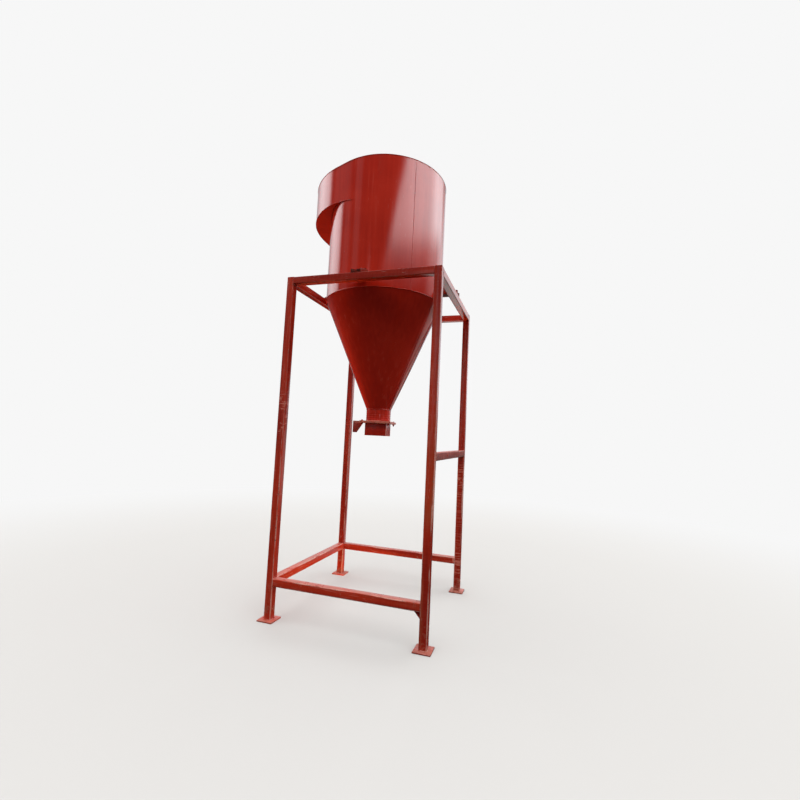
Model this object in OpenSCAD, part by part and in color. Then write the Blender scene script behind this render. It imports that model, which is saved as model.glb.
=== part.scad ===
// Cyclone separator: a welded sheet-steel vessel hung in a square tube stand.
// Millimetres. +Z is up, -Y is the front, and the feet stand on z = 0.
// The origin is at the middle of the whole footprint, so the stand's axis
// lies at stand_x.

/* [Stand] */
// Outside width of the stand, along X
stand_w = 1300; // [1200:10:1500]
// Outside depth of the stand, along Y
stand_d = 1300; // [1240:10:1500]
// Height of the top beams' upper face
stand_h = 2720; // [2700:10:2900]
// Side of the square tube
tube = 60; // [40:1:62]
// Wall of the square tube
tube_wall = 4; // [2:0.5:6]
// Height of the low beams' upper face
low_beam_top = 320; // [150:10:700]
// Height of the right side's middle beam, at its upper face
mid_beam_top = 1355; // [900:5:1400]
// Side of each square foot plate
foot_side = 130; // [90:5:200]
// Thickness of each foot plate
foot_t = 10; // [6:1:20]

/* [Vessel] */
// Outside diameter of the barrel
barrel_d = 1050; // [900:10:1060]
// Height of the barrel, from the cone to the roof
barrel_h = 1113; // [800:1:1400]
// How far the barrel's lower edge lies below the top beams' upper face
barrel_drop = 73; // [20:1:100]
// Shift of the vessel's axis from the stand's axis, along X
vessel_shift = -40; // [-45:1:0]
// Sheet thickness of barrel, cone, inlet and roof
sheet = 4; // [3:0.5:6]
// Height of the cone
cone_h = 955; // [700:5:1100]
// How far the roof reaches past the walls
roof_lip = 2; // [0:1:20]

/* [Inlet] */
// Clear width of the inlet passage
inlet_w = 240; // [180:1:280]
// Clear height of the inlet passage
inlet_h = 316; // [200:1:400]
// Radius of the scroll's outer wall
scroll_arc_r = 660; // [620:5:720]
// How far behind the vessel's axis the scroll's arc turns into the straight duct
scroll_back = 186; // [120:2:240]
// Length of the straight duct behind the scroll
duct_l = 414; // [300:2:450]
// Width of the inlet flange's border
inlet_flange_w = 40; // [30:1:60]
// Thickness of the inlet flange
inlet_flange_t = 6; // [4:1:12]

/* [Gas outlet] */
// Outside diameter of the gas outlet tube
finder_d = 480; // [300:10:560]
// How far the gas outlet tube hangs into the barrel
finder_drop = 430; // [320:5:600]
// How far the gas outlet tube stands above the roof
finder_rise = 90; // [60:5:140]
// Outside diameter of the gas outlet's flange
finder_flange_d = 580; // [560:5:680]
// Circle of the gas outlet flange's bolt holes
finder_bolt_circle = 535; // [520:5:600]

/* [Discharge] */
// Outside diameter of the round spigot
spigot_d = 219; // [168:1:260]
// Length of the round spigot
spigot_l = 105; // [80:1:160]
// Wall of the round spigot
spigot_wall = 6; // [4:0.5:10]
// Side of the two square discharge flanges
outlet_flange_side = 276; // [262:2:340]
// Thickness of each of the two discharge flanges
outlet_flange_t = 9; // [6:1:16]
// Outside width of the square discharge box
box_w = 190; // [150:1:210]
// Height of the discharge box below its flange
box_h = 110; // [80:1:160]
// Wall of the discharge box
box_wall = 5; // [3:0.5:8]
// Turn of the discharge flange and box from the stand's sides, in degrees
outlet_turn = 8; // [0:1:15]

/* [Lugs] */
// Width of each support lug
lug_w = 85; // [70:5:160]
// Thickness of the lugs' plates
lug_t = 8; // [5:1:12]
// Height of the lugs' ribs at the barrel
lug_rib_h = 52; // [30:2:90]
// Height of the lugs' ribs at their outer end
lug_rib_low = 20; // [8:2:30]
// Length of the lugs' top plate at the barrel
lug_top_l = 24; // [15:1:25]

/* [Bolting] */
// Diameter of the flange bolt holes
bolt_hole_d = 12; // [8:1:14]
// Number of bolts on the gas outlet's flange
finder_bolts = 12; // [8:2:16]

/* [Hidden] */
$fn = 192;

big = 5000;
foot_over = (foot_side - tube) / 2;

// Vessel levels, from the top beams up and down
barrel_z = stand_h - barrel_drop;
roof_z = barrel_z + barrel_h;
cone_z = barrel_z - cone_h;
spigot_z = cone_z - spigot_l;
outlet_flange_z = spigot_z - outlet_flange_t;
box_flange_z = outlet_flange_z - outlet_flange_t;
box_z = box_flange_z - box_h;
scroll_z = roof_z - inlet_h - sheet;

// The scroll's outer wall is an arc that leaves the barrel left of the front
// and runs out into the straight duct, one inlet width clear of the barrel
barrel_r = barrel_d / 2;
scroll_grow = inlet_w + sheet;
scroll_reach = barrel_r + scroll_grow;
scroll_x = scroll_arc_r - scroll_reach;
duct_end = scroll_back + duct_l;
inlet_mid_x = -barrel_r - scroll_grow / 2;
inlet_mid_z = scroll_z + sheet + inlet_h / 2;

// One gloss enamel covers the stand and the vessel
paint = "#c23018";

// Footprint, and the stand's axis that centres it on the origin
reach_left = max(scroll_reach + inlet_flange_w - vessel_shift, stand_w / 2 + foot_over);
reach_right = stand_w / 2 + foot_over;
stand_x = (reach_left - reach_right) / 2;
vessel_x = stand_x + vessel_shift;

// Corner gusset under the front low beam
gusset_l = 55;
gusset_h = 60;
gusset_t = 6;

// Distance of the discharge flanges' bolt holes from their edges
outlet_edge = 20;

// Tapered ear at the left edge of the discharge flanges
ear_l = 95;
ear_h = 105;
ear_low_w = 38;
ear_t = 8;

module in_stand() {
    translate([stand_x, 0, 0]) children();
}

module in_vessel() {
    translate([vessel_x, 0, 0]) children();
}

module at_outlet() {
    in_vessel() rotate([0, 0, outlet_turn]) children();
}

// side_x and side_y are -1 or 1 and choose one of the four corners
module at_corner(side_x, side_y) {
    in_stand()
        translate([side_x * (stand_w - tube) / 2, side_y * (stand_d - tube) / 2, 0])
            children();
}

// A square tube standing on z = 0, closed at its top
module upright(height) {
    difference() {
        translate([-tube / 2, -tube / 2, 0]) cube([tube, tube, height]);
        translate([-tube / 2 + tube_wall, -tube / 2 + tube_wall, -1])
            cube([tube - 2 * tube_wall, tube - 2 * tube_wall, height - tube_wall + 1]);
    }
}

// A square tube along X, centred on the origin, with its top at z = 0
module rail(length) {
    difference() {
        translate([-length / 2, -tube / 2, -tube]) cube([length, tube, tube]);
        translate([-length / 2 - 1, -tube / 2 + tube_wall, -tube + tube_wall])
            cube([length + 2, tube - 2 * tube_wall, tube - 2 * tube_wall]);
    }
}

module leg(side_x, side_y) {
    color(paint) at_corner(side_x, side_y)
        translate([0, 0, foot_t]) upright(stand_h - foot_t);
}

module foot(side_x, side_y) {
    color(paint) at_corner(side_x, side_y)
        translate([-foot_side / 2, -foot_side / 2, 0]) cube([foot_side, foot_side, foot_t]);
}

// Beam between the two legs of the front (side = -1) or the back (side = 1)
module cross_beam(side, top) {
    color(paint) in_stand()
        translate([0, side * (stand_d - tube) / 2, top]) rail(stand_w - 2 * tube);
}

// Beam between the two legs of the left (side = -1) or the right (side = 1)
module side_beam(side, top) {
    color(paint) in_stand()
        translate([side * (stand_w - tube) / 2, 0, top])
            rotate([0, 0, 90]) rail(stand_d - 2 * tube);
}

module corner_gusset() {
    color(paint) at_corner(1, -1)
        translate([-tube / 2, gusset_t / 2, low_beam_top - tube])
            rotate([90, 0, 0]) linear_extrude(gusset_t)
                polygon([[0, 0], [-gusset_l, 0], [0, -gusset_h]]);
}

// Bracket that carries the barrel on a beam: a seat plate, two tapered ribs
// and a short top plate, all cut to the barrel. It points along angle from
// the vessel's axis, and far is the distance to the beam's outer face.
module lug(angle, far) {
    color(paint) in_vessel() rotate([0, 0, angle]) difference() {
        translate([0, 0, stand_h]) {
            translate([0, -lug_w / 2, 0]) cube([far, lug_w, lug_t]);
            for (side = [-1, 1])
                translate([0, side * (lug_w - lug_t) / 2 + lug_t / 2, lug_t])
                    rotate([90, 0, 0]) linear_extrude(lug_t)
                        polygon([[0, 0], [far, 0], [far, lug_rib_low],
                                 [barrel_r + lug_top_l, lug_rib_h], [0, lug_rib_h]]);
            translate([0, -lug_w / 2, lug_t + lug_rib_h])
                cube([barrel_r + lug_top_l, lug_w, lug_t]);
        }
        cylinder(r = barrel_r, h = big);
    }
}

// Disc of the scroll in plan, its wall's outer face moved inwards by inset
module scroll_disc(inset = 0) {
    translate([scroll_x, scroll_back]) circle(r = scroll_arc_r - inset);
}

// The plan left of x, and between two values of y
module left_of(x, y_low, y_high) {
    translate([x - big, y_low]) square([big, y_high - y_low]);
}

// Plan of the scroll outside the barrel, as far back as the straight duct
module scroll_plan() {
    difference() {
        intersection() {
            scroll_disc();
            union() {
                left_of(0, -big, 0);
                left_of(-barrel_r, -1, scroll_back);
            }
        }
        circle(r = barrel_r);
    }
}

module barrel() {
    color(paint) in_vessel() difference() {
        translate([0, 0, barrel_z]) cylinder(d = barrel_d, h = barrel_h);
        translate([0, 0, barrel_z - 1]) cylinder(r = barrel_r - sheet, h = barrel_h + 2);
        translate([0, 0, scroll_z + sheet]) linear_extrude(inlet_h + 1)
            intersection() {
                scroll_disc(sheet);
                left_of(0, -big, 0);
            }
    }
}

module scroll_wall() {
    color(paint) in_vessel() translate([0, 0, scroll_z + sheet]) linear_extrude(inlet_h)
        difference() {
            intersection() {
                scroll_disc();
                left_of(0, -big, scroll_back);
            }
            scroll_disc(sheet);
            circle(r = barrel_r);
        }
}

module duct_outer_wall() {
    color(paint) in_vessel()
        translate([-scroll_reach, scroll_back, scroll_z + sheet])
            cube([sheet, duct_l, inlet_h]);
}

module duct_inner_wall() {
    color(paint) in_vessel() translate([0, 0, scroll_z]) linear_extrude(inlet_h + sheet)
        difference() {
            translate([-barrel_r, 0]) square([sheet, duct_end]);
            circle(r = barrel_r);
        }
}

module scroll_floor() {
    color(paint) in_vessel() translate([0, 0, scroll_z]) linear_extrude(sheet) {
        scroll_plan();
        translate([-scroll_reach, scroll_back]) square([scroll_grow, duct_l]);
    }
}

module roof() {
    color(paint) in_vessel() translate([0, 0, roof_z]) linear_extrude(sheet)
        difference() {
            union() {
                circle(r = barrel_r + roof_lip);
                intersection() {
                    scroll_disc(-roof_lip);
                    left_of(0, -big, scroll_back);
                }
            }
            circle(r = finder_d / 2);
        }
}

module duct_roof() {
    color(paint) in_vessel()
        translate([-scroll_reach, scroll_back, roof_z])
            cube([scroll_grow + sheet, duct_l, sheet]);
}

// The flange's face is at the duct's end, and holes_x and holes_z are half
// the distances between its bolts
module inlet_flange() {
    outer_w = scroll_grow + sheet + 2 * inlet_flange_w;
    outer_h = inlet_h + 2 * sheet + 2 * inlet_flange_w;
    holes_x = (outer_w - inlet_flange_w) / 2;
    holes_z = (outer_h - inlet_flange_w) / 2;
    color(paint) in_vessel()
        translate([inlet_mid_x + sheet / 2, duct_end, inlet_mid_z]) rotate([90, 0, 0])
        difference() {
            translate([-outer_w / 2, -outer_h / 2, 0]) cube([outer_w, outer_h, inlet_flange_t]);
            translate([-(scroll_grow + sheet) / 2, -inlet_h / 2 - sheet, -1])
                cube([scroll_grow + sheet, inlet_h + 2 * sheet, inlet_flange_t + 2]);
            for (p = [[-1, -1], [-1, 1], [1, -1], [1, 1], [0, 1], [0, -1], [1, 0], [-1, 0]])
                translate([p[0] * holes_x, p[1] * holes_z, -1])
                    cylinder(d = bolt_hole_d, h = inlet_flange_t + 2);
        }
}

module gas_outlet_tube() {
    color(paint) in_vessel() translate([0, 0, roof_z - finder_drop]) difference() {
        cylinder(d = finder_d, h = finder_drop + finder_rise);
        translate([0, 0, -1])
            cylinder(r = finder_d / 2 - sheet, h = finder_drop + finder_rise + 2);
    }
}

module gas_outlet_flange() {
    color(paint) in_vessel() translate([0, 0, roof_z + finder_rise - inlet_flange_t]) difference() {
        cylinder(d = finder_flange_d, h = inlet_flange_t);
        translate([0, 0, -1]) cylinder(d = finder_d, h = inlet_flange_t + 2);
        for (k = [0 : finder_bolts - 1])
            rotate([0, 0, k * 360 / finder_bolts])
                translate([finder_bolt_circle / 2, 0, -1])
                    cylinder(d = bolt_hole_d, h = inlet_flange_t + 2);
    }
}

module cone() {
    color(paint) in_vessel() rotate_extrude()
        polygon([[spigot_d / 2, cone_z], [barrel_r, barrel_z],
                 [barrel_r - sheet, barrel_z], [spigot_d / 2 - sheet, cone_z]]);
}

module spigot() {
    color(paint) in_vessel() translate([0, 0, spigot_z]) difference() {
        cylinder(d = spigot_d, h = spigot_l);
        translate([0, 0, -1]) cylinder(r = spigot_d / 2 - spigot_wall, h = spigot_l + 2);
    }
}

// One square flange with its underside at z; its child is cut out of it
module square_flange(z) {
    hole_x = outlet_flange_side / 2 - outlet_edge;
    translate([0, 0, z]) difference() {
        translate([-outlet_flange_side / 2, -outlet_flange_side / 2, 0])
            cube([outlet_flange_side, outlet_flange_side, outlet_flange_t]);
        translate([0, 0, -1]) children();
        for (x = [-1, 1], y = [-1, 1])
            translate([x * hole_x, y * hole_x, -1])
                cylinder(d = bolt_hole_d, h = outlet_flange_t + 2);
    }
}

module outlet_flange() {
    color(paint) at_outlet() square_flange(outlet_flange_z)
        cylinder(d = spigot_d - 2 * spigot_wall, h = outlet_flange_t + 2);
}

module box_flange() {
    inner = box_w - 2 * box_wall;
    color(paint) at_outlet() square_flange(box_flange_z)
        translate([-inner / 2, -inner / 2, 0]) cube([inner, inner, outlet_flange_t + 2]);
}

module discharge_box() {
    color(paint) at_outlet() translate([0, 0, box_z]) difference() {
        translate([-box_w / 2, -box_w / 2, 0]) cube([box_w, box_w, box_h]);
        translate([-box_w / 2 + box_wall, -box_w / 2 + box_wall, -1])
            cube([box_w - 2 * box_wall, box_w - 2 * box_wall, box_h + 2]);
    }
}

module flange_ear() {
    color(paint) at_outlet() translate([-outlet_flange_side / 2, ear_t / 2, spigot_z]) rotate([90, 0, 0])
        linear_extrude(ear_t)
            polygon([[0, 0], [-ear_l, 0], [-ear_l, -ear_h], [-ear_l + ear_low_w, -ear_h],
                     [0, -2 * outlet_flange_t]]);
}

leg(-1, -1);  // leg_front_left
leg(1, -1);  // leg_front_right
leg(1, 1);  // leg_back_right
leg(-1, 1);  // leg_back_left
foot(-1, -1);  // foot_front_left
foot(1, -1);  // foot_front_right
foot(1, 1);  // foot_back_right
foot(-1, 1);  // foot_back_left
cross_beam(-1, stand_h);  // top_beam_front
cross_beam(1, stand_h);  // top_beam_back
side_beam(-1, stand_h);  // top_beam_left
side_beam(1, stand_h);  // top_beam_right
cross_beam(-1, low_beam_top);  // low_beam_front
cross_beam(1, low_beam_top);  // low_beam_back
side_beam(-1, low_beam_top);  // low_beam_left
side_beam(1, mid_beam_top);  // mid_beam_right
corner_gusset();
lug(-90, stand_d / 2);  // lug_front
lug(90, stand_d / 2);  // lug_back
lug(180, stand_w / 2 + vessel_shift);  // lug_left
lug(0, stand_w / 2 - vessel_shift);  // lug_right
barrel();
roof();
scroll_wall();
scroll_floor();
duct_inner_wall();
duct_roof();
duct_outer_wall();
inlet_flange();
gas_outlet_tube();
gas_outlet_flange();
cone();
spigot();
outlet_flange();
box_flange();
discharge_box();
flange_ear();
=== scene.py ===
import math

import bmesh
import bpy
from mathutils import Matrix, Vector, noise


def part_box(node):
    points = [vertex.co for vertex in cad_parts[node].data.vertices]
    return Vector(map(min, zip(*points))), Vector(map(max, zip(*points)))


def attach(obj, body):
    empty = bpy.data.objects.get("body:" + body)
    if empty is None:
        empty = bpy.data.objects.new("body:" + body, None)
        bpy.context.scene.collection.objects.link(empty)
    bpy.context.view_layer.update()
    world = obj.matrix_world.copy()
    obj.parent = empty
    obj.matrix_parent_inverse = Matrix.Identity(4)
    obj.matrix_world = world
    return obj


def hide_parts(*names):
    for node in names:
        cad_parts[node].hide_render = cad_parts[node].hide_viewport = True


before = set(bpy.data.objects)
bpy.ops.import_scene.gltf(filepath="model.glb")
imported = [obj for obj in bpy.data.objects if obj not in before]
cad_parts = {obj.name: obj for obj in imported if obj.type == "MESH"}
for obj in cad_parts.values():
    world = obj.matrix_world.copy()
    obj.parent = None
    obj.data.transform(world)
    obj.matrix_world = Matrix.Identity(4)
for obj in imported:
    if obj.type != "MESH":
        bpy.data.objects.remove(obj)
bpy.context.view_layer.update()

# The camera stands where the photograph's stood: right of the stand's middle
# and 1.45 m above the floor, looking slightly up, with the small roll of a
# camera held by hand. Focal length and shift are those of a 36 mm sensor.
stand_x = (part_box("leg_front_left")[0].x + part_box("leg_front_right")[1].x) / 2
yaw, pitch, roll = math.radians(17.458), math.radians(4.511), math.radians(-2.677)
ahead = Vector((-math.sin(yaw) * math.cos(pitch), math.cos(yaw) * math.cos(pitch), math.sin(pitch)))
level = Vector((math.cos(yaw), math.sin(yaw), 0))
above = level.cross(ahead)
camera = bpy.data.objects.new("camera", bpy.data.cameras.new("camera"))
camera.data.sensor_width = 36
camera.data.lens = 19.009
camera.data.shift_x, camera.data.shift_y = -0.00877, 0.00596
camera.data.clip_end = 200
camera.matrix_world = Matrix((
    level * math.cos(roll) - above * math.sin(roll),
    level * math.sin(roll) + above * math.cos(roll),
    -ahead,
)).transposed().to_4x4()
camera.location = (stand_x + 1.3462, -3.5638, 1.4502)
bpy.context.scene.collection.objects.link(camera)
bpy.context.scene.camera = camera
bpy.context.scene.view_settings.view_transform = "Standard"


# Materials are trees of nodes. A Signal is one output of a node, and Python's
# operators on signals add the Math nodes that reckon with them.
class Signal:
    def __init__(self, finish, socket):
        self.finish = finish
        self.socket = socket

    def maths(self, operation, *values):
        return self.finish.node("Math", {"operation": operation}, dict(enumerate(values)))

    def __add__(self, other):
        return self.maths("ADD", self, other)

    def __sub__(self, other):
        return self.maths("SUBTRACT", self, other)

    def __rsub__(self, other):
        return self.maths("SUBTRACT", other, self)

    def __mul__(self, other):
        return self.maths("MULTIPLY", self, other)

    __radd__, __rmul__ = __add__, __mul__

    def __abs__(self):
        return self.maths("ABSOLUTE", self)

    def least(self, other):
        return self.maths("MINIMUM", self, other)

    def between(self, low, high):
        """0 up to low, 1 from high on, and a smooth rise from one to the other."""
        return self.finish.node(
            "MapRange", {"interpolation_type": "SMOOTHSTEP"}, {0: self, 1: low, 2: high})


class Finish:
    def __init__(self, name, owner=None):
        owner = owner or bpy.data.materials.new(name)
        owner.use_nodes = True
        self.owner, self.tree = owner, owner.node_tree
        self.tree.nodes.clear()

    def node(self, kind, settings=None, sockets=None, output=0):
        """The named output of a new node, after its settings and its sockets are set."""
        made = self.tree.nodes.new("ShaderNode" + kind)
        for setting, value in (settings or {}).items():
            setattr(made, setting, value)
        for socket, value in (sockets or {}).items():
            if isinstance(value, Signal):
                self.tree.links.new(value.socket, made.inputs[socket])
            else:
                made.inputs[socket].default_value = value
        return Signal(self, made.outputs[output])

    def parts(self, vector):
        """The x, y and z of a vector."""
        first = self.node("SeparateXYZ", sockets={0: vector})
        return [Signal(self, socket) for socket in first.socket.node.outputs]

    def speckle(self, scale, detail=3.0, stretch=(1, 1, 1), roughness=0.5, shift=0.0):
        """Noise that is fixed to the object, drawn out where stretch is below 1."""
        place = self.node("Mapping", sockets={
            "Vector": self.node("TexCoord", output="Object"), "Scale": stretch,
            "Location": (shift, shift, 0)})
        return self.node("TexNoise", sockets={
            "Vector": place, "Scale": scale, "Detail": detail, "Roughness": roughness}, output="Fac")

    def mix(self, factor, first, second):
        """Two colours mixed."""
        return self.node("Mix", {"data_type": "RGBA"}, {0: factor, 6: first, 7: second}, 2)

    def end(self, kind, shader):
        self.tree.links.new(shader.socket, self.tree.nodes.new("ShaderNodeOutput" + kind).inputs[0])
        return self.owner


# Studio: a pale backdrop, and a light tent whose overhead sheet gives the soft
# light. The gloss mirrors a dim room with a slanting window high on the right,
# soft ones below and behind, and bright strips at the left and in front.
backdrop = (0.93, 0.93, 0.93, 1)
tent = Finish("tent", bpy.context.scene.world or bpy.data.worlds.new("tent"))
bpy.context.scene.world = tent.owner
ray_x, ray_y, ray_z = tent.parts(tent.node("TexCoord", output="Generated"))
bearing = tent.node("Math", {"operation": "ARCTAN2"}, {0: ray_y, 1: ray_x}) * (180 / math.pi)


def window(left, right, low, high, edge_across=6, edge_up=0.05):
    """A soft-edged window of light, from bearings in degrees and heights as sines."""
    return (bearing.between(left, left + edge_across) * (1 - bearing.between(right - edge_across, right))
            * ray_z.between(low, low + edge_up) * (1 - ray_z.between(high - edge_up, high)))


overhead = (0.13 + 1.75 * ray_z.between(0.45, 0.72)
            + 1.1 * window(-60, 70, 0.2, 0.75, 25, 0.15)
            + 0.9 * (0 - ray_x).between(0.3, 0.9) * (1 - ray_z.between(0.3, 0.6)))
slanting = ((bearing - 200 * (ray_z - 0.5)).between(-60, -48) * (1 - bearing.between(58, 74))
            * (0.15 * ray_z.between(0.345, 0.385) + 0.85 * ray_z.between(0.405, 0.465))
            * (1 - ray_z.between(0.60, 0.70)))
left_edge = (((0.6 + 3.4 * bearing.between(135, 176)) * bearing.between(118, 138)
              + 4.0 * (1 - bearing.between(-177, -168)))
             * ray_z.between(0.24, 0.32) * (1 - ray_z.between(0.75, 0.9)))
mirrored = (0.09 + 0.95 * window(8, 135, 0.0, 0.62, 22, 0.16) + left_edge
            + slanting * (7.6 + 1.2 * bearing.between(-42, -15) - 2.4 * bearing.between(-10, 25)
                          - 3.6 * bearing.between(35, 60))
            + 0.7 * window(46, 82, 0.03, 0.50, 10, 0.10)
            + 1.0 * window(84, 98, 0.05, 0.26, 4, 0.04)
            + 0.9 * window(44, 75, -0.12, 0.18, 8, 0.06)
            + 1.3 * window(-106, -100, -0.02, 0.42, 2, 0.05)
            + 1.1 * window(-101, -92, 0.15, 0.30, 2, 0.05)
            + 0.28 * window(-166, -146, 0.25, 0.9, 6, 0.1)
            + 0.40 * window(-140, -124, 0.25, 0.9, 3, 0.1))
glossy = tent.node("LightPath", output="Is Glossy Ray")
seen = tent.node("LightPath", output="Is Camera Ray")
tent.end("World", tent.node("MixShader", sockets={
    0: seen,
    1: tent.node("MixShader", sockets={
        0: glossy,
        1: tent.node("Background", sockets={"Color": (1.0, 0.985, 0.96, 1), "Strength": overhead}),
        2: tent.node("Background", sockets={"Color": (0.96, 0.97, 1.0, 1), "Strength": mirrored}),
    }),
    2: tent.node("Background", sockets={"Color": backdrop, "Strength": 1.0}),
}))

# Floor: pale boards for the camera, which keep the shadow. Other rays meet
# dark boards with warm glowing sheets under and beside the stand's left half,
# and the gloss alone mirrors pale sheets behind it and far to the right.
floor = Finish("floor")
seen = floor.node("LightPath", output="Is Camera Ray")
glossy = floor.node("LightPath", output="Is Glossy Ray")
reach = floor.node("VectorMath", {"operation": "LENGTH"},
                   {0: floor.node("TexCoord", output="Object")}, "Value").between(3.0, 8)
along, back, _ = floor.parts(floor.node("TexCoord", output="Object"))
under_stand = (along.between(-0.7, -0.5) * (1 - along.between(-0.15, 0.30))
               * back.between(-0.7, -0.4) * (1 - back.between(0.6, 0.9)))
beside_stand = (along.between(-3.5, -2.5) * (1 - along.between(-1.4, -0.9))
                * back.between(-0.6, 0.2) * (1 - back.between(2.0, 3.0)))
pale_behind = (back.between(0.6, 2.2) * (1 - back.between(16, 26))
               * (0.10 * back + 0.35 - along).between(-0.4, 0.4) * along.between(-2.4, -1.4))
far_right = (back.between(3, 6) * (1.15 * back - along).between(-0.5, 2)
             * (along - 0.27 * back).between(-0.5, 0.5))
tone = floor.mix(beside_stand * (1 - glossy), (0.03, 0.029, 0.027, 1), (4.4, 2.8, 0.9, 1))
tone = floor.mix(under_stand * (1 - glossy), tone, (2.25, 1.32, 0.60, 1))
tone = floor.mix(pale_behind * glossy, tone, (1.25, 1.2, 1.15, 1))
tone = floor.mix(far_right * glossy, tone, (0.90, 0.85, 0.80, 1))
tone = floor.mix(seen, tone, backdrop)
floor_paint = floor.end("Material", floor.node("MixShader", sockets={
    0: seen * (1 - reach),
    1: floor.node("Emission", sockets={"Color": tone, "Strength": 1.0}),
    2: floor.node("BsdfDiffuse", sockets={"Color": (0.60, 0.60, 0.60, 1)}),
}))
boards = bmesh.new()
bmesh.ops.create_circle(boards, cap_ends=True, segments=96, radius=60)
mesh = bpy.data.meshes.new("floor")
boards.to_mesh(mesh)
boards.free()
mesh.materials.append(floor_paint)
ground = bpy.data.objects.new("floor", mesh)
bpy.context.scene.collection.objects.link(ground)

# Soft lamps, which light and leave no highlight: a low warm one at the left,
# which glows on the cone, one high in front for the barrel's top, and two
# narrow ones for the right end of the back top beam and for the left one.
for name, energy, color, spread, place, aim in (
        ("ground_glow", 170, (1.0, 0.60, 0.26), 26, (-2.6, 1.5, 0.5), (-0.30, 0, 1.95)),
        ("front_sky", 75, (1.0, 0.88, 0.76), 27, (0.2, -3.2, 5.6), (0.0, -0.5, 3.95)),
        ("back_beam_sky", 220, (1.0, 0.95, 0.95), 5.6, (0.58, -2.6, 1.2), (0.56, 0.6, 2.71)),
        ("left_beam_sky", 70, (1.0, 0.90, 0.80), 6, (1.9, -1.6, 1.9), (-0.51, -0.42, 2.72))):
    glow = bpy.data.lights.new(name, "SPOT")
    glow.energy, glow.color = energy, color
    glow.spot_size, glow.spot_blend, glow.shadow_soft_size = math.radians(spread), 0.9, spread / 100
    lamp = bpy.data.objects.new(name, glow)
    lamp.location = place
    lamp.rotation_euler = (Vector(aim) - lamp.location).to_track_quat("-Z", "Y").to_euler()
    lamp.visible_glossy = False
    bpy.context.scene.collection.objects.link(lamp)


# Enamel of the stand: a gloss orange-red put on with a brush. The strokes run
# along each tube, thin places show the brown primer, corners are rubbed pale,
# dust lies on what faces up, and splashed soil on the low parts.
barrel_low, barrel_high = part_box("barrel")
axis_x = (barrel_low.x + barrel_high.x) / 2


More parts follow.
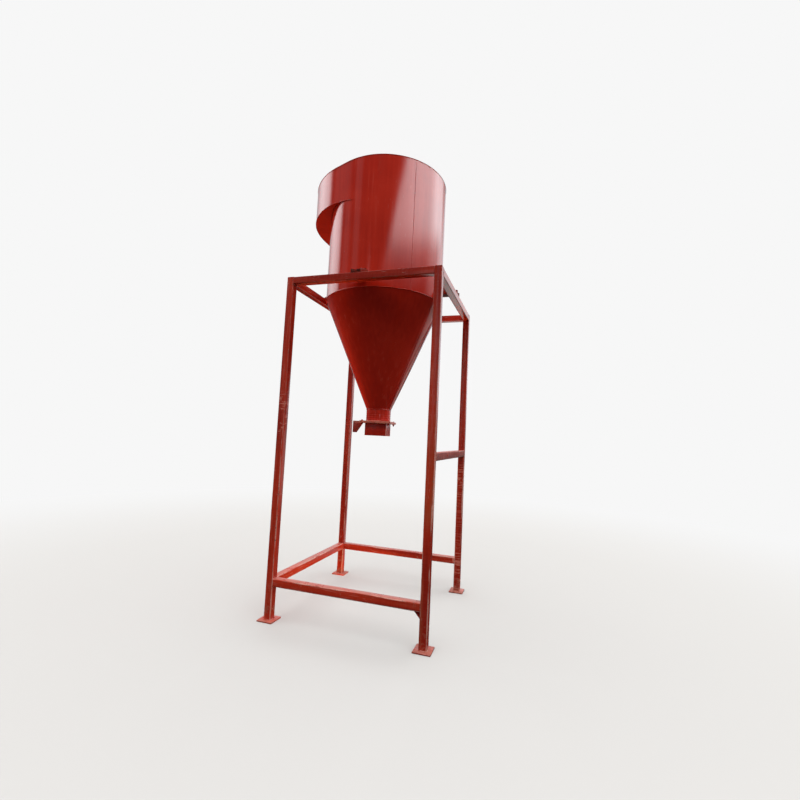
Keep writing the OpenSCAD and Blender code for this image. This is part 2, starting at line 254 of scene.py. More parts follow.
def brushed_enamel(axis, name="stand_enamel_", darkening=0.0, pocket=2.0, on_top=1.0):
    """Enamel for pieces along an axis, painted darker by up to the given share,
    which is painted shade in the brackets' pockets and darker patches on the
    middle beam. It lies mostly within pocket metres of the vessel's middle lines,
    and only the share on_top of it on what faces up."""
    coat = Finish(name + axis)
    undarkened = darkening == 0
    x, y, height = coat.parts(coat.node("TexCoord", output="Object"))
    stretch = {"x": (0.04, 1, 1), "y": (1, 0.04, 1), "z": (1, 1, 0.04)}[axis]
    long = tuple(0.12 if s < 1 else 1 for s in stretch)
    strokes = coat.speckle(170, 2.0, stretch)
    bands = coat.speckle(40, 3.0, stretch, shift=3.0)
    patches = coat.speckle(7, 4.0, long, shift=7.0)
    chips = coat.speckle(75, 4.0, roughness=0.65)
    worn = coat.node("Attribute", {"attribute_name": "corner"}, output="Fac")
    facing_up = coat.parts(coat.node("NewGeometry", output="Normal"))[2]

    tone = coat.mix((0.65 * patches + 0.35 * bands).between(0.38, 0.62),
                    (0.33, 0.017, 0.008, 1), (0.58, 0.038, 0.014, 1))
    primer = coat.speckle(9, 5.0, long, 0.6, 15.0).between(0.56, 0.68) * bands.between(0.35, 0.6)
    tone = coat.mix(primer * 0.5, tone, (0.38, 0.080, 0.038, 1))
    left_legs = 1 - x.between(stand_x - 0.55, stand_x - 0.5)
    right_legs = x.between(stand_x + 0.55, stand_x + 0.58)
    front_legs = 1 - y.between(-0.6, -0.55)
    back_legs = y.between(0.5, 0.57)
    # The front right leg is brushed thinnest, at half its height
    bald = right_legs * front_legs * height.between(0.75, 0.95) * (1 - height.between(1.35, 1.75))
    bald = bald * (0.25 + 0.6 * coat.speckle(16, 5.0, long, 0.6, 41.0).between(0.4, 0.6))
    tone = coat.mix(bald, tone, (0.45, 0.075, 0.026, 1))
    thin = strokes.between(0.56, 0.68) * patches.between(0.42, 0.6)
    tone = coat.mix(thin * 0.35, tone, (0.68, 0.20, 0.15, 1))
    scratch = coat.speckle(420, 1.0, stretch, shift=11.0).between(0.68, 0.74)
    scratch = scratch * coat.speckle(6).between(0.5, 0.6)
    tone = coat.mix(scratch * 0.7, tone, (0.74, 0.44, 0.38, 1))
    # Dabs across the back right leg, where the brush was wiped, and across the
    # front left one, where something grazed it
    across = {"x": (1, 0.1, 0.1), "y": (0.1, 1, 0.1), "z": (0.08, 0.08, 1)}[axis]
    wiped = right_legs * back_legs * (1 - height.between(1.15, 1.3))
    wiped = wiped * (0.25 + 0.75 * coat.speckle(5, 3.0, shift=47.0).between(0.42, 0.54))
    grazed = left_legs * front_legs * height.between(1.35, 1.45) * (1 - height.between(1.7, 1.8))
    grazed = grazed * coat.speckle(18, 3.0).between(0.5, 0.6)
    dabs = coat.speckle(95, 2.0, across, shift=19.0).between(0.46, 0.57)
    dabs = dabs * (0.03 + 0.75 * wiped + 0.9 * grazed)
    dabs = dabs * coat.speckle(26, shift=23.0).between(0.32, 0.46)
    tone = coat.mix(dabs, tone, (0.78, 0.24, 0.18, 1))
    rubbed = worn * coat.speckle(28, 4.0, long, 0.6, 31.0).between(0.44, 0.57)
    rubbed = rubbed * (1 - 0.85 * height.between(1.3, 1.7))
    tone = coat.mix(rubbed * 0.6, tone, (0.80, 0.46, 0.39, 1))
    bare = worn * chips.between(0.58, 0.63)
    tone = coat.mix(bare * 0.8, tone, (0.13, 0.055, 0.035, 1))
    spots = coat.speckle(38, 5.0, roughness=0.7, shift=5.0).between(0.68, 0.72)
    tone = coat.mix(spots * 0.75, tone, (0.10, 0.030, 0.012, 1))
    dust = facing_up.between(0.5, 0.95) * (0.35 + 0.65 * coat.speckle(9, 5.0).between(0.3, 0.65))
    tone = coat.mix(dust * 0.28, tone, (0.66, 0.40, 0.33, 1))
    soil = (coat.speckle(15, 6.0, roughness=0.65, shift=27.0) - 0.5 * height).between(0.44, 0.56)
    tone = coat.mix(soil * 0.4, tone, (0.36, 0.13, 0.08, 1))
    # Painted darkening: painted shade deep in the brackets' pockets, and darker patches on the middle
    # beam, less on what faces up
    if not undarkened:
        off_middle = abs(x - axis_x).least(abs(y))
        darkening = darkening * coat.speckle(24, 5.0, shift=43.0).between(0.25, 0.5)
        darkening = darkening * (1 - 0.5 * off_middle.between(pocket - 0.003, pocket))
        darkening = darkening * (1 - (1 - on_top) * facing_up.between(0.5, 0.9))
        tone = coat.mix(darkening, tone, (0.080, 0.015, 0.009, 1))

    matt = (0.11 + 0.5 * darkening + 0.14 * patches + 0.25 * soil + 0.15 * dust + 0.3 * bare + 0.3 * spots
            + 0.15 * primer)
    relief = (strokes * 0.6 + bands * 1.1 + 0.4 * coat.speckle(260, 2.0) - 1.6 * bare - 0.8 * spots
              + 0.5 * dabs)
    return coat.end("Material", coat.node("BsdfPrincipled", sockets={
        "Base Color": tone, "Roughness": matt, "Specular IOR Level": 0.42 if undarkened else 0.14,
        "Normal": coat.node("Bump", sockets={"Strength": 0.2, "Distance": 0.0008, "Height": relief}),
    }))


stand_enamel = {axis: brushed_enamel(axis) for axis in "xyz"}


# Foot plates: four squares flame-cut from 10 mm plate with softened edges, one
# welded under each leg, so that the stand bears flat on the floor.
def finished(name, shape, materials, slot, *nodes, sharp=35):
    """Makes the piece's object from its bmesh, and lets it stand for its CAD nodes."""
    for face in shape.faces:
        face.smooth = True
    for edge in shape.edges:
        edge.smooth = edge.is_manifold and edge.calc_face_angle(0) < math.radians(sharp)
    made = bpy.data.meshes.new(name)
    shape.to_mesh(made)
    shape.free()
    for material in materials:
        made.materials.append(material)
    piece = bpy.data.objects.new(name, made)
    bpy.context.scene.collection.objects.link(piece)
    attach(piece, "root")
    if nodes:
        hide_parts(*nodes)
    return piece


def softened(node, rounding, shortest=0.003):
    """A copy of a CAD node's mesh, merged, with its long sharp edges rounded."""
    shape = bmesh.new()
    shape.from_mesh(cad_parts[node].data)
    bmesh.ops.remove_doubles(shape, verts=shape.verts, dist=0.00002)
    bmesh.ops.dissolve_limit(shape, angle_limit=math.radians(1), verts=shape.verts, edges=shape.edges)
    sharp = [e for e in shape.edges
             if e.is_manifold and e.calc_face_angle(0) > math.radians(40) and e.calc_length() > shortest]
    bevelled = bmesh.ops.bevel(shape, geom=sharp, offset=rounding, segments=2, affect="EDGES",
                               profile=0.5, material=-1, clamp_overlap=True)
    corner = shape.loops.layers.float.new("corner")
    for face in bevelled["faces"]:
        for loop in face.loops:
            loop[corner] = 1.0
    return shape


corners = ["front_left", "front_right", "back_right", "back_left"]
for place in corners:
    finished("foot_plate_" + place, softened("foot_" + place, 0.0015), [stand_enamel["x"]],
             "stand_paint", "foot_" + place)


# Legs and beams: cold-formed 60 mm square tube with rounded corners, sawn to
# length and welded. The middle beam is painted darker in patches, least of all
# on its top.
# Their sides are divided along the length, so that no face is a sliver.
def square_tube(node, corner_radius=0.007, longest_face=0.04):
    """A closed tube that fills a CAD node's box, along the box's longest side."""
    low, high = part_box(node)
    size = high - low
    run = max(range(3), key=lambda i: size[i])
    shape = bmesh.new()
    bmesh.ops.create_cube(shape, size=1)
    bmesh.ops.scale(shape, vec=size, verts=shape.verts)
    bmesh.ops.translate(shape, vec=(low + high) / 2, verts=shape.verts)

    def lengthwise():
        return [e for e in shape.edges
                if abs((e.verts[0].co - e.verts[1].co)[run]) > size[run] / 2]

    bmesh.ops.bevel(shape, geom=lengthwise(), offset=corner_radius, segments=4, affect="EDGES",
                    profile=0.5, material=-1)
    bmesh.ops.subdivide_edges(shape, edges=lengthwise(), cuts=int(size[run] / longest_face))
    shape.normal_update()
    corner = shape.loops.layers.float.new("corner")
    for face in shape.faces:
        for loop in face.loops:
            loop[corner] = 0.0 if max(abs(n) for n in face.normal) > 0.999 else 1.0
    return shape


tubes = {"z": ["leg_" + place for place in corners],
         "x": ["top_beam_front", "top_beam_back", "low_beam_front", "low_beam_back"],
         "y": ["top_beam_left", "top_beam_right", "low_beam_left", "mid_beam_right"]}
mid_beam_enamel = brushed_enamel("y", "mid_beam_enamel_", 0.6, on_top=0.3)
for axis, names in tubes.items():
    for node in names:
        enamel = mid_beam_enamel if node == "mid_beam_right" else stand_enamel[axis]
        finished(node + "_tube", square_tube(node), [enamel], "stand_paint", node)

# Gusset and brackets: 6 and 8 mm plate, cut to the leg's corner and to the
# barrel's curve. The four brackets carry the vessel on the top beams, and
# their pockets are painted dark as painted shade.
bracket_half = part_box("lug_front")[1].x - axis_x
bracket_enamel = brushed_enamel("z", "bracket_enamel_", 0.9, pocket=bracket_half - 0.002)
finished("corner_gusset_plate", softened("corner_gusset", 0.001), [stand_enamel["x"]], "stand_paint",
         "corner_gusset")
for side in ("front", "back", "left", "right"):
    finished("lug_" + side + "_plates", softened("lug_" + side, 0.001), [bracket_enamel], "stand_paint",
             "lug_" + side)


# Welds: beads of stick weld a few millimetres wide, with the ripples of each
# pool, painted over. The stand's run round each tube's end, under the feet's
# legs, along the gusset and the brackets, and round two spliced legs.
def weld(beads, points, width=0.006, closed=False):
    """Adds one bead along the straight stretches between its points."""
    trail = []
    stops = points + points[:1] if closed else points
    for first, last in zip(stops, stops[1:]):
        first, last = Vector(first), Vector(last)
        count = max(1, round((last - first).length / 0.0045))
        trail += [first.lerp(last, i / count) for i in range(count)]
    trail += [] if closed else [Vector(stops[-1])]
    spline = beads.splines.new("POLY")
    spline.points.add(len(trail) - 1)
    spline.use_cyclic_u = closed
    for i, (point, spot) in enumerate(zip(spline.points, trail)):
        point.co = (*spot, 1)
        lumps = noise.noise(spot * 60) * 0.25 + noise.noise(spot * 12) * 0.2
        point.radius = width / 2 * (1 + 0.12 * (i % 2) + lumps)


def weld_piece(name, beads, material, slot):
    """Turns the beads into one mesh piece."""
    beads.dimensions = "3D"
    beads.bevel_depth, beads.bevel_resolution, beads.use_fill_caps = 1.0, 1, True
    holder = bpy.data.objects.new(name, beads)
    shape = bmesh.new()
    shape.from_mesh(bpy.data.meshes.new_from_object(holder))
    bpy.data.objects.remove(holder)
    corner = shape.loops.layers.float.new("corner")
    for face in shape.faces:
        for loop in face.loops:
            loop[corner] = 1.0
    return finished(name, shape, [material], slot, sharp=60)


def square(low, high, axis, level):
    """The corners of a tube's outline at a level along its axis."""
    first, second = [i for i in range(3) if i != axis]
    loop = []
    for a, b in ((low, low), (high, low), (high, high), (low, high)):
        spot = Vector((0, 0, 0))
        spot[axis], spot[first], spot[second] = level, a[first], b[second]
        loop.append(spot)
    return loop


stand_beads = bpy.data.curves.new("stand_beads", "CURVE")
for run, axis in enumerate("xy"):
    for node in tubes[axis]:
        low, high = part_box(node)
        inset = Vector((0.002, 0.002, 0.002))
        for end in (low[run], high[run]):
            weld(stand_beads, square(low + inset, high - inset, run, end), 0.0055, closed=True)
for place in corners:
    low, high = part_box("leg_" + place)
    weld(stand_beads, square(low, high, 2, low.z), 0.007, closed=True)
splices = {"front_left": 0.964, "back_left": 1.155}
for place, splice_z in splices.items():
    low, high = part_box("leg_" + place)
    inset = Vector((0.0022, 0.0022, 0))
    weld(stand_beads, square(low + inset, high - inset, 2, splice_z), 0.0055, closed=True)
low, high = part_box("corner_gusset")
for y in (low.y, high.y):
    weld(stand_beads, [(low.x, y, high.z), (high.x, y, high.z)], 0.005)
    weld(stand_beads, [(high.x, y, high.z), (high.x, y, low.z)], 0.005)
# A dab of weld left from a bracket cut off the middle beam
low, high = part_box("mid_beam_right")
weld(stand_beads, [(high.x, -0.22, low.z + 0.014), (high.x, -0.218, low.z + 0.04)], 0.008)
weld_piece("stand_welds", stand_beads, stand_enamel["z"], "stand_paint")

# Inside of the vessel: steel sheet left bare, dull brown with rust and dust.
# It shows through the inlet, the gas outlet and the discharge box.
scale = Finish("inner_steel")
clouds, grit = scale.speckle(5.0, 5.0), scale.speckle(90.0, 4.0)
tone = scale.mix(clouds.between(0.35, 0.65), (0.16, 0.11, 0.08, 1), (0.25, 0.19, 0.15, 1))
tone = scale.mix(grit.between(0.52, 0.68) * 0.7, tone, (0.17, 0.07, 0.03, 1))
inner_steel = scale.end("Material", scale.node("BsdfPrincipled", sockets={
    "Base Color": tone, "Roughness": 0.55 + 0.3 * grit,
    "Normal": scale.node("Bump", sockets={"Strength": 0.4, "Distance": 0.0006, "Height": grit}),
}))

# Enamel of the vessel: the same orange-red, sprayed on and glossy, with a
# slight orange peel. Rain has left faint upright runs, rust shows in spots,
# and dust lies on what faces up.
spray = Finish("vessel_enamel")
aside, _, height = spray.parts(spray.node("TexCoord", output="Object"))
aside = aside - axis_x
facing_up = spray.parts(spray.node("NewGeometry", output="Normal"))[2]
worn = spray.node("Attribute", {"attribute_name": "corner"}, output="Fac")
clouds = spray.speckle(2.4, 4.0, shift=7.0)
runs = spray.speckle(36, 3.0, (1, 1, 0.035), shift=3.0)
peel = spray.speckle(330, 2.0)
tone = spray.mix((0.7 * clouds + 0.3 * runs).between(0.38, 0.62),
                 (0.50, 0.020, 0.009, 1), (0.61, 0.030, 0.013, 1))
streaks = runs.between(0.58, 0.72) * spray.speckle(1.6, 3.0, shift=13.0).between(0.45, 0.65)
tone = spray.mix(streaks * 0.10, tone, (0.55, 0.26, 0.20, 1))
scratch = spray.speckle(240, 1.0, (1, 1, 0.06), shift=9.0).between(0.72, 0.78) * clouds.between(0.5, 0.6)
tone = spray.mix(scratch * 0.3, tone, (0.70, 0.34, 0.28, 1))
# The discharge is handled most: its edges are rubbed pale, a pale painted
# highlight runs all round the edges of its two flanges, and its ear is painted
# a duller, darker red
flange_low, flange_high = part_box("box_flange")[0].z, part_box("outlet_flange")[1].z
handled = 1 - height.between(1.60, 1.62)
# Pale painted highlight on the edges of both flanges, added to the rubbed edges
flange_highlight = (height.between(flange_low - 0.001, flange_low)
       * (1 - height.between(flange_high - 0.001, flange_high)))
rubbed = spray.speckle(28, 4.0, roughness=0.6, shift=31.0).between(0.32, 0.48)
rubbed = (worn + 0.6 * flange_highlight) * handled * rubbed
tone = spray.mix(rubbed * 0.75, tone, (0.84, 0.36, 0.26, 1))
bare = worn * spray.speckle(75, 4.0, roughness=0.65).between(0.60, 0.65)
tone = spray.mix(bare * 0.7, tone, (0.16, 0.07, 0.04, 1))
# The discharge's left end, with its ear, is painted a duller, darker red-brown
ear_darkened = handled * (1 - aside.between(-0.145, -0.130))
ear_darkened = ear_darkened * spray.speckle(30, 4.0, shift=37.0).between(0.25, 0.6)
tone = spray.mix(ear_darkened * 0.6, tone, (0.22, 0.075, 0.062, 1))
spots = spray.speckle(46, 5.0, roughness=0.7, shift=5.0).between(0.72, 0.75)
tone = spray.mix(spots * 0.8, tone, (0.11, 0.032, 0.014, 1))
dust = facing_up.between(0.5, 0.95) * spray.speckle(6, 7.0, roughness=0.62).between(0.15, 0.75)
tone = spray.mix(dust * 0.45, tone, (0.45, 0.27, 0.20, 1))
matt = (0.075 + 0.17 * handled + 0.05 * clouds + 0.03 * runs + 0.4 * dust + 0.3 * bare
        + 0.3 * spots)
relief = peel + runs * 0.5 - 3.0 * bare - 2.0 * spots
vessel_enamel = spray.end("Material", spray.node("BsdfPrincipled", sockets={
    "Base Color": tone, "Specular IOR Level": 0.36, "Roughness": matt,
    "Normal": spray.node("Bump", sockets={"Strength": 0.10, "Distance": 0.0004, "Height": relief}),
}))

# Barrel: one sheet of 4 mm steel rolled to a drum and closed by a single
# upright weld at the right. Rolling and welding have left it slightly uneven,
# most of all beside that weld, where the sheet's ends stayed flatter.
sheet = 0.004
barrel_radius = (barrel_high.x - barrel_low.x) / 2
floor_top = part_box("scroll_wall")[0].z
inlet_edge = math.radians(-119.5)
barrel_seam = math.radians(-45.5)


def around(radius, turn, z):
    """The point at a radius from the vessel's axis, turned from +X in radians."""
    return Vector((axis_x + radius * math.cos(turn), radius * math.sin(turn), z))


def turn_of(spot):
    """A place's turn about the vessel's axis, from +X in radians."""
    return math.atan2(spot.y, spot.x - axis_x)


def uneven(verts, depth, seam, firm=()):
    """Presses a round wall in and out by up to depth, but not at the heights in firm."""
    for v in verts:
        turn = turn_of(v.co)
        out = Vector((math.cos(turn), math.sin(turn), 0))
        swell = noise.noise(Vector((out.x * 1.9, out.y * 1.9, v.co.z * 1.1)))
        ribs = noise.noise(Vector((out.x * 11, out.y * 11, v.co.z * 0.35 + 4)))
        off = math.degrees(abs(math.remainder(turn - seam, 2 * math.pi)))
        hold = min([1.0] + [abs(v.co.z - z) / 0.22 for z in firm])
        hold = hold * hold * (3 - 2 * hold)
        v.co += out * depth * (swell + 0.35 * ribs - 1.2 * max(0.0, 1 - off / 5)) * hold


def turned(points, steps=240, rows=24):
    """A round wall about the vessel's axis, from the radius and height of its two ends."""
    shape = bmesh.new()
    ends = [shape.verts.new(around(radius, 0, z)) for radius, z in points]
    edge = shape.edges.new(ends)
    bmesh.ops.subdivide_edges(shape, edges=[edge], cuts=rows - 1)
    bmesh.ops.spin(shape, geom=shape.verts[:] + shape.edges[:], angle=2 * math.pi, steps=steps,
                   axis=(0, 0, 1), cent=(axis_x, 0, 0), use_merge=True)
    bmesh.ops.recalc_face_normals(shape, faces=shape.faces)
    side = shape.faces[0]
    middle = side.calc_center_median()
    if (middle - Vector((axis_x, 0, middle.z))).dot(side.normal) < 0:
        bmesh.ops.reverse_faces(shape, faces=shape.faces)
    return shape


def walled(piece, thickness=sheet, even=True):
    """Gives a sheet its thickness, with the second material on its inner side."""
    wall = piece.modifiers.new("wall", "SOLIDIFY")
    wall.thickness, wall.offset = thickness, -1
    wall.material_offset, wall.material_offset_rim = 1, 0
    wall.use_even_offset = even
    return piece


drum = turned([(barrel_radius, barrel_low.z), (barrel_radius, barrel_high.z)])
# Clean edges round the opening to the scroll: its front, its back, its floor
for point, normal in (((axis_x, 0, 0), (-math.sin(inlet_edge), math.cos(inlet_edge), 0)),
                      ((axis_x, 0, 0), (0, 1, 0)), ((0, 0, floor_top), (0, 0, 1))):
    bmesh.ops.bisect_plane(drum, geom=drum.verts[:] + drum.edges[:] + drum.faces[:], dist=0.00001,
                           plane_co=point, plane_no=normal)
open_to_scroll = []
for face in drum.faces:
    middle = face.calc_center_median()
    if middle.z > floor_top and -math.pi < turn_of(middle) < inlet_edge:
        open_to_scroll.append(face)
bmesh.ops.delete(drum, geom=open_to_scroll, context="FACES")
firm_heights = (barrel_low.z, barrel_high.z)
uneven(drum.verts, 0.0011, barrel_seam, firm_heights)
walled(finished("barrel_drum", drum, [vessel_enamel, inner_steel], "vessel_paint", "barrel"))

# Cone: the same sheet, rolled and closed by one weld at the right, and welded
# all round to the barrel's lower edge and to the spigot.
cone_low, cone_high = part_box("cone")
spigot_low, spigot_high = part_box("spigot")
spigot_radius = (spigot_high.x - spigot_low.x) / 2
cone_seam = math.radians(-14)
funnel = turned([(spigot_radius, cone_low.z), (barrel_radius, cone_high.z)])
uneven(funnel.verts, 0.0010, cone_seam, (cone_low.z, cone_high.z))
walled(finished("cone_funnel", funnel, [vessel_enamel, inner_steel], "vessel_paint", "cone"))

# Scroll: one sheet rolled round the upper left of the drum and running
# straight back as the inlet duct's outer wall. At the front it comes in flat
# on the drum, where it is welded and ground smooth.
scroll_low, scroll_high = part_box("scroll_wall")
duct_low, duct_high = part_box("duct_outer_wall")
scroll_radius = 0.660
scroll_axis = Vector((scroll_low.x + scroll_radius, duct_low.y, 0))
sweep, sweep_steps = math.radians(94.4), 88
tip = math.radians(-97)
under = scroll_low.z - sheet


def in_front(v):
    """Whether a vertex lies in front of the vessel's axis, where the scroll closes in."""
    return v.co.y < -0.0001


def swelled(turn):
    """How far the scroll's outer face stands out from the drum at a turn."""
    ray = Vector((math.cos(turn), math.sin(turn)))
    centre = Vector((scroll_axis.x - axis_x, scroll_axis.y))
    along = ray.dot(centre)
    clear = along + math.sqrt(scroll_radius ** 2 - centre.length_squared + along ** 2) - barrel_radius
    soft = (clear + math.hypot(clear, 0.018)) / 2
    return soft * min(1.0, 0.02 + (tip - turn) / math.radians(18))


def dip(turn):
    """How far the scroll's floor falls below its level towards the tip."""
    return 0.046 * max(0.0, min(1.0, (turn - math.radians(-134)) / math.radians(36))) ** 1.6


wrap = bmesh.new()
ends = [wrap.verts.new((scroll_low.x, duct_low.y, z)) for z in (under, scroll_high.z)]
bmesh.ops.subdivide_edges(wrap, edges=[wrap.edges.new(ends)], cuts=9)
edges = wrap.edges[:]
bmesh.ops.spin(wrap, geom=wrap.verts[:] + edges, angle=sweep, steps=sweep_steps, axis=(0, 0, 1),
               cent=scroll_axis)
straight = bmesh.ops.extrude_edge_only(wrap, edges=edges)
moved = [v for v in straight["geom"] if isinstance(v, bmesh.types.BMVert)]
bmesh.ops.translate(wrap, vec=(0, duct_high.y - duct_low.y, 0), verts=moved)
bmesh.ops.remove_doubles(wrap, verts=wrap.verts, dist=0.00001)
bmesh.ops.recalc_face_normals(wrap, faces=wrap.faces)
if sum(f.normal.x for f in wrap.faces) > 0:
    bmesh.ops.reverse_faces(wrap, faces=wrap.faces)
for v in wrap.verts:
    if in_front(v):
        turn = turn_of(v.co)
        v.co = around(barrel_radius + swelled(turn), turn,
                      v.co.z - dip(turn) * (scroll_high.z - v.co.z) / (scroll_high.z - under))
uneven([v for v in wrap.verts if in_front(v)], 0.0011, barrel_seam, firm_heights)
walled(finished("scroll_wrap", wrap, [vessel_enamel, inner_steel], "vessel_paint",
                "scroll_wall", "duct_outer_wall"))

# Scroll's floor: flat sheet between the drum and the scroll's wall, back to
# the inlet flange. Its front end is pulled down to a thin tip on the drum.
plate = bmesh.new()
corner_vert = plate.verts.new((scroll_low.x + sheet / 2, duct_low.y, under))
bmesh.ops.spin(plate, geom=[corner_vert], angle=sweep, steps=sweep_steps, axis=(0, 0, 1),
               cent=scroll_axis)
back_vert = plate.verts.new((scroll_low.x + sheet / 2, duct_high.y, under))
plate.edges.new((corner_vert, back_vert))
outline = plate.edges[:]
inward = bmesh.ops.extrude_edge_only(plate, edges=outline)
inner = {v for v in inward["geom"] if isinstance(v, bmesh.types.BMVert)}
for v in plate.verts:
    turn = turn_of(v.co)
    if in_front(v):
        radius = barrel_radius if v in inner else barrel_radius + swelled(turn) - sheet / 2
        v.co = around(radius - 0.001, turn, under - dip(turn))
    elif v in inner:
        v.co.x = axis_x - barrel_radius
bmesh.ops.recalc_face_normals(plate, faces=plate.faces)
if sum(f.normal.z for f in plate.faces) > 0:
    bmesh.ops.reverse_faces(plate, faces=plate.faces)
walled(finished("scroll_floor_sheet", plate, [vessel_enamel, inner_steel], "vessel_paint",
                "scroll_floor"), even=False)

# Roof: flat sheet over the drum and the scroll, cut round the gas outlet. It
# stands 2 mm past the walls, and a weld runs under that lip.
lid = softened("roof", 0.0012)
for v in lid.verts:
    turn = turn_of(v.co)
    out = math.hypot(v.co.x - axis_x, v.co.y)
    if v.co.y < 0 and turn < tip and out > barrel_radius - 0.01:
        v.co = around(max(out, barrel_radius + swelled(turn) + 0.002), turn, v.co.z)
finished("roof_sheet", lid, [vessel_enamel], "vessel_paint", "roof")

# Inlet duct: its inner wall and its roof are cut from sheet, and its drilled
# flange from flat bar. They are welded on behind the drum and the scroll.
for node, rounding in (("duct_inner_wall", 0.0008), ("duct_roof", 0.0012), ("inlet_flange", 0.001)):
    finished(node + "_plate", softened(node, rounding), [vessel_enamel], "vessel_paint", node)

# Gas outlet: a rolled tube welded into the roof, which hangs well down inside
# the drum, and on its upper end a drilled ring flange for the next pipe.
for node, rounding in (("gas_outlet_tube", 0.0008), ("gas_outlet_flange", 0.001)):
    finished(node + "_ring", softened(node, rounding), [vessel_enamel], "vessel_paint", node)

# Spigot: a short piece of 219 mm pipe with the fine rings that turning and
# painting left on it.
pipe = turned([(spigot_radius, spigot_low.z), (spigot_radius, spigot_high.z)], 120, 60)
for v in pipe.verts:
    rise = (v.co.z - spigot_low.z) / (spigot_high.z - spigot_low.z)
    groove = 0.0011 * sum(math.exp(-((rise - middle) / 0.035) ** 2) for middle in (0.22, 0.40, 0.57))
    v.co = around(spigot_radius - groove, turn_of(v.co), v.co.z)
walled(finished("spigot_pipe", pipe, [vessel_enamel, inner_steel], "vessel_paint", "spigot"), 0.006)

# Discharge flanges, box and ear: two squares of 9 mm plate bolted together,
# a box of 5 mm plate welded under them, and a tapered ear at the left edge.
for node, rounding in (("outlet_flange", 0.0012), ("box_flange", 0.0012), ("discharge_box", 0.0015),
                       ("flange_ear", 0.001)):
    finished(node + "_plate", softened(node, rounding), [vessel_enamel], "vessel_paint", node)


# Flange bolts: four M10 hexagon bolts with a washer under each head and nut,
# 20 mm in from the flanges' edges and painted over with them.
discharge_turn = math.radians(8)


def half_side(node):
    """Half the side of a square piece that is turned as the discharge is."""
    low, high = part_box(node)
    return (high.x - low.x) / 2 / (math.cos(discharge_turn) + math.sin(discharge_turn))


def outlet_corners(half):
    """The corners of a square about the vessel's axis, turned as the discharge is."""
    spots = []
    for side_x, side_y in ((-1, -1), (1, -1), (1, 1), (-1, 1)):
        arm = Vector((side_x * half, side_y * half))
        arm.rotate(Matrix.Rotation(discharge_turn, 2))
        spots.append(Vector((axis_x + arm.x, arm.y, 0)))
    return spots


washer, head, nut, shank_end = 0.002, 0.0084, 0.0104, 0.018
bolts = bmesh.new()
for spot, twist in zip(outlet_corners(half_side("outlet_flange") - 0.020), (-0.8, 0.6, 1.4, 0.0)):
    for sides, radius, bottom, top in (
            (24, 0.0100, flange_high, flange_high + washer),
            (6, 0.0098, flange_high + washer, flange_high + head),
            (24, 0.0100, flange_low - washer, flange_low),
            (6, 0.0098, flange_low - nut, flange_low - washer),
            (16, 0.0049, flange_low - shank_end, flange_low - nut)):
        raised = Matrix.Translation(spot + Vector((0, 0, (bottom + top) / 2)))
        made = bmesh.ops.create_cone(
            bolts, cap_ends=True, segments=sides, radius1=radius, radius2=radius, depth=top - bottom,
            matrix=raised @ Matrix.Rotation(twist, 4, "Z"))
        rims = {e for v in made["verts"] for e in v.link_edges
                if abs(e.verts[0].co.z - e.verts[1].co.z) < 1e-6}
        bmesh.ops.bevel(bolts, geom=list(rims), offset=0.0008, segments=2, affect="EDGES",
                        profile=0.5, material=-1)
finished("flange_bolts", bolts, [vessel_enamel], "vessel_paint")

# Welds of the vessel: the drum to the roof and to the cone, the upright seams,
# the scroll's edges, the duct, the gas outlet, the spigot and the box.
vessel_beads = bpy.data.curves.new("vessel_beads", "CURVE")


def ring(radius, z, first=0.0, last=2 * math.pi, steps=144):
    """Points round the vessel's axis, from one turn to another."""
    return [around(radius, first + (last - first) * i / steps, z) for i in range(steps + 1)]


outer_line = [around(barrel_radius + swelled(turn) + 0.0005, turn, 0)
              for turn in (tip + (-math.pi - tip) * i / 80 for i in range(81))]
outer_line += [Vector((scroll_axis.x - math.sqrt(scroll_radius ** 2 - (scroll_axis.y - y) ** 2), y, 0))
               for y in (duct_low.y * i / 6 for i in range(1, 6))]
outer_line += [Vector((scroll_low.x, y, 0)) for y in (duct_low.y, duct_high.y)]
roof_z = barrel_high.z
weld(vessel_beads, ring(barrel_radius - 0.0012, roof_z, tip, math.pi), 0.006)
weld(vessel_beads, [p.lerp(Vector((axis_x, p.y, 0)), 0.002) + Vector((0, 0, roof_z))
                    for p in outer_line], 0.006)
# Both welds of the scroll's floor stop short of its thin tip
weld(vessel_beads, [Vector((p.x, p.y, under - (dip(turn_of(p)) if p.y < 0 else 0)))
                    for p in outer_line[8:]], 0.004)
weld(vessel_beads, [around(barrel_radius, turn, under - dip(turn) - 0.001)
                    for turn in (-math.pi + (tip + math.pi) * i / 60 for i in range(54))], 0.005)
weld(vessel_beads, ring(barrel_radius - 0.0005, barrel_low.z)[:-1], 0.0065, closed=True)
weld(vessel_beads, [around(barrel_radius - 0.0012, barrel_seam,
                           barrel_low.z + (roof_z - barrel_low.z) * i / 20) for i in range(21)], 0.006)
weld(vessel_beads, [around(barrel_radius - 0.0012, cone_seam, cone_high.z),
                    around(spigot_radius - 0.0008, cone_seam, cone_low.z)], 0.006)
weld(vessel_beads, ring(spigot_radius, cone_low.z, steps=60)[:-1], 0.006, closed=True)
weld(vessel_beads, ring(spigot_radius, spigot_low.z, steps=60)[:-1], 0.008, closed=True)

tube_low, tube_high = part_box("gas_outlet_tube")
tube_radius, tube_seam = (tube_high.x - tube_low.x) / 2, math.radians(70)
ring_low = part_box("gas_outlet_flange")[0].z
weld(vessel_beads, ring(tube_radius, roof_z + sheet, steps=96)[:-1], 0.009, closed=True)
weld(vessel_beads, ring(tube_radius, ring_low, steps=96)[:-1], 0.007, closed=True)
weld(vessel_beads, [around(tube_radius, tube_seam, roof_z + sheet),
                    around(tube_radius, tube_seam, ring_low)], 0.005)

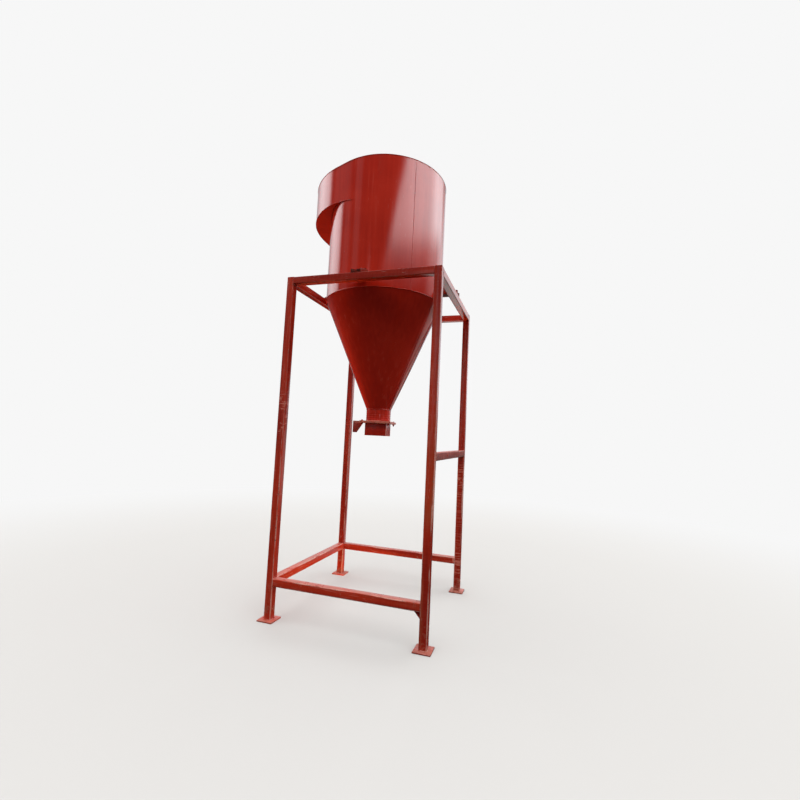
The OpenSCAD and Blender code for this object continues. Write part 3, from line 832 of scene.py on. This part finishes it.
low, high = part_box("duct_inner_wall")
duct_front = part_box("inlet_flange")[0].y
weld(vessel_beads, [(high.x - sheet, 0.01, under - 0.001),
                    (high.x - sheet, duct_front, under - 0.001)], 0.006)
weld(vessel_beads, [(high.x, 0.045, roof_z), (high.x, duct_front, roof_z)], 0.006)
weld(vessel_beads, [(high.x, 0.064, z) for z in (under, roof_z)], 0.007)
weld(vessel_beads, square(Vector((scroll_low.x, 0, under)), Vector((high.x, 0, roof_z + sheet)), 1,
                          duct_front), 0.007, closed=True)

box_low, box_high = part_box("discharge_box")
box_corners = outlet_corners(half_side("discharge_box"))
weld(vessel_beads, [p + Vector((0, 0, flange_low)) for p in box_corners], 0.007, closed=True)
for p in box_corners:
    set_in = p.lerp(Vector((axis_x, 0, 0)), 0.012)
    weld(vessel_beads, [set_in + Vector((0, 0, z)) for z in (box_low.z, box_high.z)], 0.004)
weld_piece("vessel_welds", vessel_beads, vessel_enamel, "vessel_paint")

# Bracket welds: short beads where the 8 mm ribs and plates of the brackets
# meet the drum, along the ribs' feet, and where the plates lie on the beams.
bracket_beads = bpy.data.curves.new("bracket_beads", "CURVE")
rib = 0.008
beam_top, bracket_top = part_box("top_beam_front")[1].z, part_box("lug_front")[1].z
on_plate, rib_top = beam_top + rib, bracket_top - rib
skin = math.sqrt(barrel_radius ** 2 - bracket_half ** 2)
outer_ends = {-90: -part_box("lug_front")[0].y, 90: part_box("lug_back")[1].y,
              180: axis_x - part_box("lug_left")[0].x, 0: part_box("lug_right")[1].x - axis_x}
for angle, far in outer_ends.items():
    facing = math.radians(angle)

    def at_bracket(out, side, z):
        """A place outwards from the vessel's axis towards a bracket, and sideways."""
        return Vector((axis_x + out * math.cos(facing) - side * math.sin(facing),
                       out * math.sin(facing) + side * math.cos(facing), z))

    for side in (-bracket_half, rib - bracket_half, bracket_half - rib, bracket_half):
        weld(bracket_beads, [at_bracket(skin, side, on_plate), at_bracket(skin, side, rib_top)], 0.005)
        weld(bracket_beads, [at_bracket(skin, side, on_plate),
                             at_bracket(far - 0.01, side, on_plate)], 0.004)
    for z in (beam_top, bracket_top):
        weld(bracket_beads, [around(barrel_radius, facing + t * bracket_half / barrel_radius, z)
                             for t in (-1, -0.5, 0, 0.5, 1)], 0.006)
    for side in (-bracket_half, bracket_half):
        weld(bracket_beads, [at_bracket(far - 0.055, side, beam_top),
                             at_bracket(far, side, beam_top)], 0.006)
weld_piece("bracket_welds", bracket_beads, bracket_enamel, "stand_paint")
